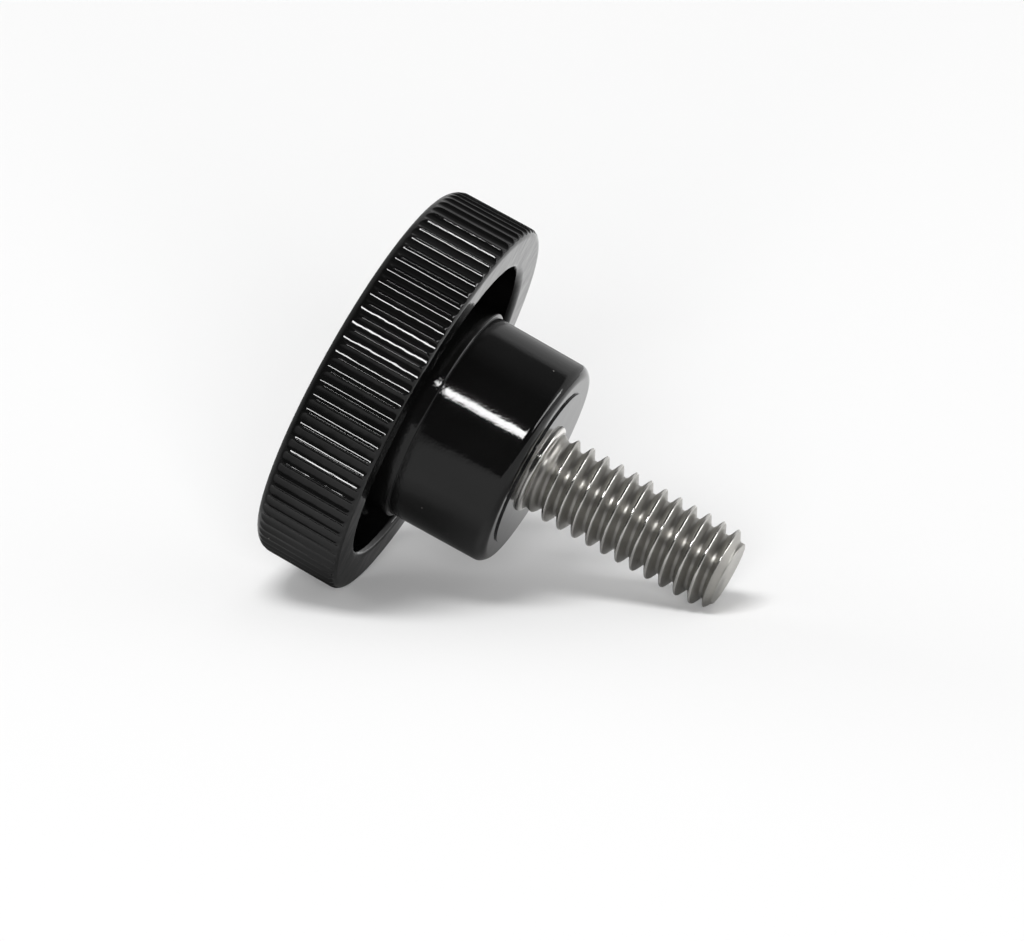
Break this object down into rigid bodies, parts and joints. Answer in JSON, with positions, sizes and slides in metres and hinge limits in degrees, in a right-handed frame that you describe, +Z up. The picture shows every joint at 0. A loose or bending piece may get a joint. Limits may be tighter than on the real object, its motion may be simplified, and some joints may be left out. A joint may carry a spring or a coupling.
{
  "type": "thumb screw",
  "caption": "Thumb screw with a straight-ribbed black plastic knob, hollow underneath, moulded around a stainless steel threaded stud.",
  "frame": {"origin": "middle of the box's underside, on the table that the screw lies on", "axes": "+Z up from the table; +X along the table the way the screw's end points; the screw's axis lies in the XZ plane and slopes down towards +X"},
  "size_m": [0.023, 0.0194, 0.019],
  "materials": {
    "black_plastic": "moulded gloss",
    "stainless_steel": "rolled thread, passivated"
  },
  "bodies": {
    "root": {"knob": "black_plastic", "stud": "stainless_steel"}
  },
  "joints": []
}
